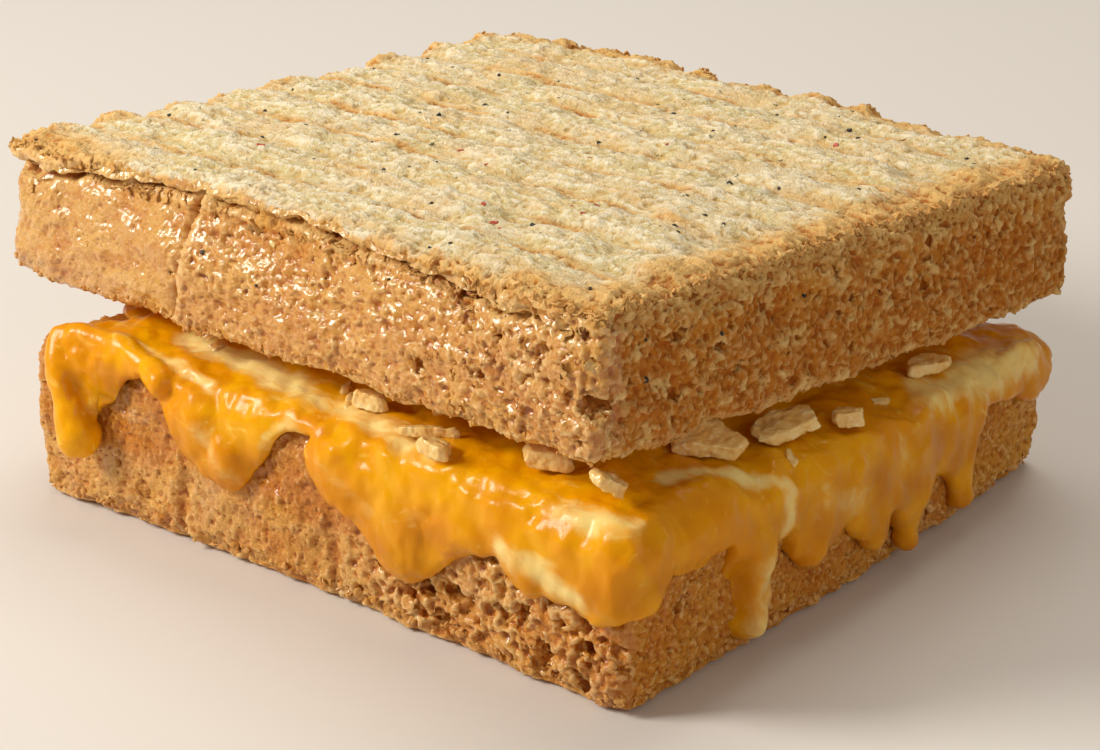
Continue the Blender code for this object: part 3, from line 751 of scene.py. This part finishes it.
def run_of_cheese(path):
    """A rounded, tapering run of cheese from a curve with its own radius at each point."""
    curve = bpy.data.curves.new("cheese run", "CURVE")
    curve.dimensions = "3D"
    curve.bevel_depth = 1.0 * MM
    curve.bevel_resolution = 4
    curve.use_fill_caps = True
    spline = curve.splines.new("NURBS")
    spline.points.add(len(path) - 1)
    for point, (x, y, z, radius) in zip(spline.points, path):
        point.co = (*(FOOT_MIDDLE + Vector((x, y, z)) * MM), 1.0)
        point.radius = radius
    spline.use_endpoint_u = True
    spline.order_u = 3
    tube = bpy.data.objects.new("cheese run", curve)
    bpy.context.scene.collection.objects.link(tube)
    alone(tube)
    bpy.ops.object.convert(target="MESH")
    tip = path[-1]
    bpy.ops.mesh.primitive_uv_sphere_add(
        segments=24, ring_count=16, radius=tip[3] * 1.04 * MM,
        location=FOOT_MIDDLE + Vector(tip[:3]) * MM)
    end = bpy.context.object
    settle(end)
    return joined([tube, end], "cheese run")


def swelling(middle, half, turn):
    bpy.ops.mesh.primitive_uv_sphere_add(
        segments=32, ring_count=20, radius=1.0, location=FOOT_MIDDLE + Vector(middle) * MM,
        rotation=(0.0, math.radians(turn), 0.0), scale=Vector(half) * MM)
    swell = bpy.context.object
    settle(swell)
    return swell


def cheese():
    piece = copy_of_node("cheese", "melted_cheese")
    runs = [run_of_cheese(path) for path in RUNS]
    swells = [swelling(*swell) for swell in SWELLS]
    piece = joined([piece, *runs, *swells], "melted_cheese")
    put_on(piece, "REMESH", "one skin", mode="VOXEL", voxel_size=0.42 * MM)
    put_on(piece, "SMOOTH", "melted together", factor=0.5, iterations=16)
    place = places(piece, LOWER_FRAME)
    off_run = np.abs(place[:, 1] + 26.2 - 0.06 * (14.0 - place[:, 2]))
    on_flank = weigh(piece, "flank of the long run",
                     ramp(place[:, 0], 55.5, 56.5) * ramp(place[:, 2], 19.0, 11.0) * ramp(off_run, 1.8, 3.0) * ramp(off_run, 8.0, 7.0))
    put_on(piece, "DISPLACE", "flank", strength=-3.5 * MM, mid_level=0.0, direction="X", vertex_group=on_flank)
    on_left = weigh(piece, "flank of the left run", ramp(-place[:, 1], 49.5, 50.5) * ramp(place[:, 2], 21.0, 17.0)
                    * ramp(place[:, 0], -45.8 - 0.2 * (place[:, 2] - 13.0), -48.0 - 0.2 * (place[:, 2] - 13.0)))
    put_on(piece, "DISPLACE", "flank", strength=3.0 * MM, mid_level=0.0, direction="Y", vertex_group=on_left)
    outside = ramp(np.maximum(np.abs(place[:, 0]) - 38.0, np.abs(place[:, 1]) - 34.0), 0.0, 4.0)
    on_skin = weigh(piece, "skin", outside * ramp(place[:, 2], 3.0, 6.0))
    off_film = np.linalg.norm((place - (-38.5, -51.5, 20.5)) / (6.0, 3.0, 4.5), axis=1)
    on_film = weigh(piece, "film", ramp(off_film, 1.5, 0.6))
    put_on(piece, "DISPLACE", "film", strength=-0.5 * MM, mid_level=0.0, vertex_group=on_film)
    relief(piece, LUMPS, 1.9, grain((10.0, 10.0, 12.0)), on_skin)
    relief(piece, TEARS, 1.5, grain((7.0, 7.0, 10.0), turn=(0, 20, 0)), on_skin, middle=TEARS_MIDDLE)
    relief(piece, LUMPS, 0.7, grain((3.6, 3.6, 5.0)), on_skin)
    put_on(piece, "SMOOTH", "soft skin", factor=0.5, iterations=5)
    relief(piece, LUMPS, 0.15, grain((1.0, 1.0, 2.0), turn=(0, 30, 0)), on_skin)
    thinned(piece, np.clip(0.1 + outside, 0.0, 1.0))
    place = places(piece, LOWER_FRAME)
    cream = np.zeros(len(place))
    wander = 1.0 + 0.6 * waver(place, 6.0, 3.0) + 0.3 * waver(place, 2.5, 5.0)
    for half_width, strength, path in STREAKS:
        cream = np.maximum(cream, strength * bell(distance_to_path(place, path), 1.2 * half_width * wander))
    off_film = np.linalg.norm((place - (-38.5, -51.5, 20.5)) / (6.5, 4.0, 5.0), axis=1)
    note(piece, "cream", cream)
    film = 0.85 * ramp(off_film + 0.3 * waver(place, 2.0, 9.0), 1.5, 0.8) * ramp(place[:, 0], -42.5, -39.0)
    hanging = ramp(place[:, 2], 23.0, 18.0) * np.clip(0.5 + 0.7 * waver(place, 5.0, 23.0), 0.0, 0.85) * ramp(place[:, 0], -44.0, -30.0)
    # painted shade: a darker strip along the right side of the cheese
    hanging = (hanging + 0.2 * ramp(place[:, 0], 54.0, 57.0)) * (1.0 - 0.85 * cream)
    note(piece, "thin", np.maximum(film, hanging))
    smooth(piece, 180.0)
    wear(piece, cheese_finish())
    return piece


# ---------------------------------------------------------------- garlic and specks

def garlic(finish):
    for node in sorted(n for n in frame["nodes"] if n.startswith("garlic_")):
        piece = copy_of_node(node, node + "_chip")
        put_on(piece, "BEVEL", "worn edges", width=0.25 * MM, segments=2, limit_method="ANGLE")
        put_on(piece, "REMESH", "even skin", mode="VOXEL", voxel_size=0.16 * MM)
        put_on(piece, "SMOOTH", "soft edges", factor=0.5, iterations=5)
        on_all = weigh(piece, "all", np.ones(len(piece.data.vertices)))
        relief(piece, LUMPS, 1.1, grain((2.6, 2.6, 2.6)), on_all)
        relief(piece, LUMPS, 0.3, grain((0.8, 1.8, 0.8)), on_all)
        smooth(piece)
        wear(piece, finish)
        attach(piece, "root")
        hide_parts(node)


def fleck_model(size, uneven=0.9):
    """An uneven grain."""
    bpy.ops.mesh.primitive_ico_sphere_add(subdivisions=2, radius=size * MM)
    model = bpy.context.object
    on_all = weigh(model, "all", np.ones(len(model.data.vertices)))
    relief(model, LUMPS, uneven * size, grain((0.9 * size,) * 3), on_all)
    return model


def flake_model(length, width, thickness, curl):
    """A small torn flake, wavy and a little thick."""
    bpy.ops.mesh.primitive_grid_add(x_subdivisions=5, y_subdivisions=3, size=1.0)
    model = bpy.context.object
    model.scale = (length * MM, width * MM, 1.0)
    settle(model)
    on_all = weigh(model, "all", np.ones(len(model.data.vertices)))
    for direction, share in (("Z", 1.0), ("X", 0.6), ("Y", 0.6)):
        relief(model, LUMPS, curl * share, grain((0.45 * length,) * 3), on_all, direction=direction)
    put_on(model, "SOLIDIFY", "thickness", thickness=thickness * MM, offset=0.0)
    return model


def slab_model(length, width, thickness):
    """A cut sliver with worn edges."""
    bpy.ops.mesh.primitive_cube_add(size=1.0)
    model = bpy.context.object
    model.scale = (length * MM, width * MM, thickness * MM)
    settle(model)
    put_on(model, "SUBSURF", "finer", subdivision_type="SIMPLE", levels=3, render_levels=3)
    put_on(model, "SMOOTH", "worn edges", factor=0.5, iterations=4)
    on_all = weigh(model, "all", np.ones(len(model.data.vertices)))
    relief(model, LUMPS, 0.9 * width, grain((1.1 * width,) * 3), on_all)
    return model


def strewn(name, models, surface, within, spots, seed, sink=0.25, tilt=0.3, sizes=(0.7, 1.3)):
    """Copies of the models laid on a surface. A spot is (start, direction) in the frame."""
    chance = random.Random(seed)
    copies = []
    for start, towards in spots:
        way = (within.to_3x3() @ Vector(towards)).normalized()
        place, facing, _, _ = surface.ray_cast(within @ (Vector(start) * MM), way)
        if place is None:
            continue
        upright = facing.to_track_quat("Z", "Y").to_matrix().to_4x4()
        turn = Matrix.Rotation(chance.uniform(0.0, 2.0 * math.pi), 4, "Z")
        lean = Matrix.Rotation(chance.uniform(-tilt, tilt), 4, "X")
        scale = Matrix.Scale(chance.uniform(*sizes), 4)
        put_at = Matrix.Translation(place - facing * sink * MM)
        copies.append(copied(chance.choice(models), put_at @ upright @ turn @ lean @ scale))
    removed(*models)
    return joined(copies, name)


def along(start, end, towards, count, seed, jitter=0.6):
    """Spots along an edge."""
    chance = random.Random(seed)
    spots = []
    for _ in range(count):
        share = chance.random()
        spots.append(([a + (b - a) * share + chance.uniform(-jitter, jitter) for a, b in zip(start, end)], towards))
    return spots


def as_bread(piece, finish, toast, pale, baked=0.0, butter=0.6):
    """Small bread pieces wear the same finish as the slices."""
    ones = np.ones(len(piece.data.vertices))
    # a fixed rise of 0.12 gives the small pieces a little of the painted ridge highlight
    for name, value in (("toast", toast), ("butter", butter), ("depth", 0.0), ("rise", 0.12), ("pale", pale), ("baked", baked)):
        note(piece, name, value * ones)
    smooth(piece, 50.0)
    wear(piece, finish)
    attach(piece, "root")


def skin_strip(surface, start, length, lift, half_width, tilt, seed):
    """A wavy strip of torn skin along the crevice on the front of the upper slice."""
    chance = random.Random(seed)
    count = max(4, round(length / 1.6))
    curve = bpy.data.curves.new("strip", "CURVE")
    curve.dimensions = "3D"
    curve.twist_mode = "Z_UP"
    curve.extrude = half_width * MM
    curve.resolution_u = 4
    spline = curve.splines.new("NURBS")
    spline.points.add(count - 1)
    for index, point in enumerate(spline.points):
        x = start + length * index / (count - 1)
        height = lip_height(x) + lift + chance.uniform(-0.35, 0.35)
        place, _, _, _ = surface.ray_cast(
            UPPER_FRAME @ (Vector((x, -70.0, height)) * MM), UPPER_FRAME.to_3x3() @ Vector((0.0, 1.0, 0.0)))
        at_end = min(index, count - 1 - index)
        outward = chance.uniform(0.1, 0.5) if at_end else -0.5
        place = UPPER_FRAME.inverted() @ place + Vector((0.0, -outward, 0.0)) * MM
        point.co = (*(UPPER_FRAME @ place), 1.0)
        point.radius = (0.5 if at_end == 0 else 1.0) * chance.uniform(0.75, 1.25)
        point.tilt = math.radians(tilt + chance.uniform(-22.0, 22.0))
    spline.use_endpoint_u = True
    spline.order_u = 3
    strip = bpy.data.objects.new("strip", curve)
    bpy.context.scene.collection.objects.link(strip)
    alone(strip)
    bpy.ops.object.convert(target="MESH")
    put_on(strip, "SUBSURF", "finer", subdivision_type="SIMPLE", levels=2, render_levels=2)
    on_all = weigh(strip, "all", np.ones(len(strip.data.vertices)))
    relief(strip, LUMPS, 0.7, grain((0.9, 0.9, 0.9)), on_all)
    relief(strip, LUMPS, 0.7, grain((1.3, 1.3, 1.3)), on_all, direction="Z")
    put_on(strip, "SOLIDIFY", "thickness", thickness=0.22 * MM, offset=0.0)
    return strip


CORNER_FLAKES = [(40.3, 18.0), (53.2, 16.2), (57.6, 13.6), (52.2, 18.0), (55.4, 17.6), (53.7, 12.4), (47.0, 17.4)]


def torn_skin(upper, finish):
    surface = surface_of(upper)
    chance = random.Random(77)
    strips = []
    start = -56.0
    while start < 50.0:
        length = chance.uniform(5.0, 12.0)
        strips.append(skin_strip(surface, start, min(length, 54.0 - start), chance.uniform(0.6, 1.3),
                                 chance.uniform(0.35, 0.75), chance.uniform(-50.0, -15.0), len(strips)))
        if chance.random() < 0.45:
            strips.append(skin_strip(surface, start + 1.0, min(0.7 * length, 50.0 - start), chance.uniform(-1.6, -0.9),
                                     chance.uniform(0.25, 0.45), chance.uniform(10.0, 40.0), 50 + len(strips)))
        start += length * chance.uniform(0.7, 1.0)
    flakes = [((x, -70.0, z), (0.0, 1.0, 0.0)) for x, z in CORNER_FLAKES]
    strips.append(strewn("corner flakes", [flake_model(2.4, 1.5, 0.2, 1.6), flake_model(1.7, 1.3, 0.2, 1.3)], surface,
                         UPPER_FRAME, flakes, 31, sink=-0.25, tilt=0.5))
    skin = joined(strips, "crust_flakes")
    as_bread(skin, finish, toast=0.8, pale=0.75, butter=1.0)


def shreds_and_crumbs(upper, lower, upper_finish, lower_finish):
    x, y, top = UPPER_HALF.x, UPPER_HALF.y, 2.0 * UPPER_HALF.z
    surface = surface_of(upper)
    rims = along((-x, -y - 14, top + 14), (x, -y - 14, top + 14), (0, 1, -1), 150, 1)
    rims += along((x + 14, -y, top + 14), (x + 14, y, top + 14), (-1, 0, -1), 190, 2)
    rims += along((-x - 14, -y, top + 14), (-x - 14, y, top + 14), (1, 0, -1), 150, 3)
    rims += along((-x, y + 14, top + 14), (x, y + 14, top + 14), (0, -1, -1), 110, 4)
    models = [flake_model(1.5, 0.8, 0.16, 0.9), flake_model(1.1, 0.9, 0.18, 0.8), flake_model(2.0, 0.7, 0.16, 1.1)]
    shreds = strewn("rim_shreds", models, surface, UPPER_FRAME, rims, 4, sink=0.0, tilt=0.9)
    as_bread(shreds, upper_finish, toast=0.7, pale=0.35, butter=0.2)
    feet = along((-x, -y - 14, -14), (x, -y - 14, -14), (0, 1, 1), 130, 5)
    feet += along((x + 14, -y, -14), (x + 14, y, -14), (-1, 0, 1), 110, 6)
    feet += along((-x - 14, -y, -14), (-x - 14, y, -14), (1, 0, 1), 60, 8)
    feet += along((30, -80, 2), (57, -80, 17), (0, 1, 0), 90, 7, jitter=6.0)
    models = [fleck_model(0.42, 1.8), fleck_model(0.3, 1.8), flake_model(1.2, 0.8, 0.2, 1.1)]
    crumbs = strewn("edge_crumbs", models, surface, UPPER_FRAME, feet, 9, sink=0.15, tilt=0.8, sizes=(0.6, 1.3))
    as_bread(crumbs, upper_finish, toast=0.95, pale=0.2)

    x, y = LOWER_HALF.x, LOWER_HALF.y
    surface = surface_of(lower)
    feet = along((-x, -80, 2.1), (x, -80, 2.1), (0, 1, 0), 150, 11, jitter=0.8)
    feet += along((85, -y, 2.1), (85, y, 2.1), (-1, 0, 0), 130, 12, jitter=0.8)
    feet += along((-85, -y, 2.1), (-85, y, 2.1), (1, 0, 0), 100, 13, jitter=0.8)
    feet += along((-x, 80, 2.1), (x, 80, 2.1), (0, -1, 0), 100, 14, jitter=0.8)
    models = [fleck_model(0.4, 1.8), fleck_model(0.55, 1.8), flake_model(1.4, 0.9, 0.22, 1.2)]
    crumbs = strewn("foot_crumbs", models, surface, LOWER_FRAME, feet, 15, sink=0.12, tilt=0.8, sizes=(0.6, 1.2))
    as_bread(crumbs, lower_finish, toast=0.95, pale=0.3)


DOWN = (0.0, 0.0, -1.0)
HERBS = [(11.1, -11.4), (-8.9, -13.5), (-29.8, 7.2), (-2.5, 30.4), (54.9, -34.0), (49.3, -37.3), (-29.6, -27.3),
         (-14.5, -44.3), (32.7, -48.5), (2.1, -28.0)]
RED_FLECKS = [(24.8, -35.4), (30.4, -18.7), (26.7, -22.1), (19.2, -31.7), (9.7, 0.2)]
PEPPER = [(-23.7, 30.5), (5.6, 3.4), (-4.9, -26.8), (27.0, -46.0), (-14.8, -14.0), (-1.0, 34.4), (44.5, -20.7),
          (42.1, -21.7), (-53.9, -50.0), (-21.4, -47.6), (25.4, -48.2), (34.2, 2.7), (39.6, 6.9), (42.4, -12.6),
          (46.8, -13.9)]
PEPPER_RIGHT = [(-46.5, 16.2), (-43.9, 15.2), (-43.9, 9.9), (4.8, 11.1), (17.6, 5.1), (-30.0, 13.0), (-12.0, 14.0)]
PEPPER_FRONT = [(-22.0, 7.3), (-4.0, 9.5), (8.0, 13.0), (-15.0, 12.0), (20.0, 15.5)]


def specks(upper):
    surface = surface_of(upper)
    chance = random.Random(5)
    spread_out = [((chance.uniform(-52, 54), chance.uniform(-48, 48), 40.0), DOWN) for _ in range(170)]
    right = [((70.0, y, z), (-1.0, 0.0, 0.0)) for y, z in PEPPER_RIGHT]
    front = [((x, -70.0, z), (0.0, 1.0, 0.0)) for x, z in PEPPER_FRONT]
    pepper = strewn("pepper_flecks", [fleck_model(0.36, 1.6), fleck_model(0.26, 1.6)], surface, UPPER_FRAME,
                    [((x, y, 40.0), DOWN) for x, y in PEPPER] + right + front + spread_out[:45], 6, sink=0.12)
    wear(pepper, speck_finish("cracked pepper", hue(62, 50, 34), hue(24, 20, 16), 0.6))
    herbs = strewn("herb_bits", [flake_model(1.6, 0.9, 0.12, 1.2), flake_model(1.0, 0.8, 0.12, 1.0)], surface,
                   UPPER_FRAME, [((x, y, 40.0), DOWN) for x, y in HERBS] + spread_out[45:135], 8, sink=0.15, sizes=(0.35, 0.9))
    wear(herbs, speck_finish("dried herb", hue(112, 112, 62), hue(66, 72, 40), 0.7))
    red = strewn("red_flecks", [flake_model(1.3, 0.6, 0.14, 0.4), flake_model(0.8, 0.6, 0.14, 0.3)], surface,
                 UPPER_FRAME, [((x, y, 40.0), DOWN) for x, y in RED_FLECKS] + spread_out[135:150], 10, sink=0.0,
                 sizes=(0.5, 1.2))
    wear(red, speck_finish("red pepper flakes", hue(198, 84, 40), hue(160, 52, 28), 0.5))
    for piece in (pepper, herbs, red):
        smooth(piece, 50.0)
        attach(piece, "root")


SLIVERS = [(-27.6, -41.0), (-1.2, -41.4), (45.2, -27.7), (53.4, 8.9), (56.5, -17.0), (-24.5, -43.0), (2.5, -44.0)]


def garlic_slivers(melted, upper, finish):
    spots = [((x, y, 40.0), DOWN) for x, y in SLIVERS]
    slivers = strewn("garlic_slivers", [slab_model(3.4, 1.5, 1.0), slab_model(2.6, 1.8, 0.9)], surface_of(melted),
                     LOWER_FRAME, spots, 21, sink=0.1, tilt=0.35)
    bead = strewn("garlic bead", [slab_model(1.5, 1.2, 1.1)], surface_of(upper), UPPER_FRAME,
                  [((-3.7, -70.0, 15.0), (0.0, 1.0, 0.0))], 22, sink=0.0)
    slivers = joined([slivers, bead], "garlic_slivers")
    smooth(slivers)
    wear(slivers, finish)
    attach(slivers, "root")


# ---------------------------------------------------------------- studio

def studio():
    bpy.ops.mesh.primitive_plane_add(size=4.0, location=(0.0, 0.0, 0.0))
    floor = bpy.context.object
    floor.name = "floor"
    plain = Finish("pale floor")
    plain.set(Base_Color=(0.72, 0.69, 0.65, 1.0), Roughness=0.7)
    wear(floor, plain)

    target = FOOT_MIDDLE + Vector((8.45, -8.86, 21.85)) * MM
    azimuth, elevation, distance = math.radians(39.2), math.radians(23.3), 441.0 * MM
    back = Vector((math.sin(azimuth) * math.cos(elevation), -math.cos(azimuth) * math.cos(elevation), math.sin(elevation)))
    bpy.ops.object.camera_add(location=target + back * distance, rotation=back.to_track_quat("Z", "Y").to_euler())
    camera = bpy.context.object
    camera.data.lens = 100.0
    camera.data.sensor_width = 36.0
    bpy.context.scene.camera = camera

    for name, direction, away, size, watts in (
        ("key", (-0.62, -0.62, 0.55), 0.75, 0.24, 5.2),
        ("top", (-0.25, 0.45, 1.0), 0.80, 0.50, 2.9),
        ("right", (1.0, -0.35, 0.45), 0.95, 0.60, 1.45),
    ):
        way = Vector(direction).normalized()
        bpy.ops.object.light_add(type="AREA", location=target + way * away, rotation=way.to_track_quat("Z", "Y").to_euler())
        light = bpy.context.object
        light.name = name
        light.data.size = size
        light.data.energy = watts
        light.data.color = (1.0, 0.95, 0.88)
    world = bpy.data.worlds.new("soft room")
    world.use_nodes = True
    world.node_tree.nodes["Background"].inputs["Color"].default_value = (1.0, 0.87, 0.72, 1.0)
    world.node_tree.nodes["Background"].inputs["Strength"].default_value = 0.24
    bpy.context.scene.world = world
    bpy.context.scene.view_settings.view_transform = "Standard"


studio()
upper_finish = bread_finish("grilled bread", UPPER_FRAME)
lower_finish = bread_finish("toasted bread", LOWER_FRAME)
flesh = garlic_finish()
upper_bread = upper_slice(upper_finish)
lower_bread = lower_slice(lower_finish)
melted = cheese()
for piece, node, finish_slot in (
    (upper_bread, "upper_slice", "grilled_crumb"),
    (lower_bread, "lower_slice", "toasted_bread"),
    (melted, "cheese", "melted_cheese"),
):
    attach(piece, "root")
    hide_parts(node)
garlic(flesh)
garlic_slivers(melted, upper_bread, flesh)
torn_skin(upper_bread, upper_finish)
shreds_and_crumbs(upper_bread, lower_bread, upper_finish, lower_finish)
specks(upper_bread)
for empty in [o for o in bpy.data.objects if o.type == "EMPTY" and o.name.startswith("Empty")]:
    removed(empty)
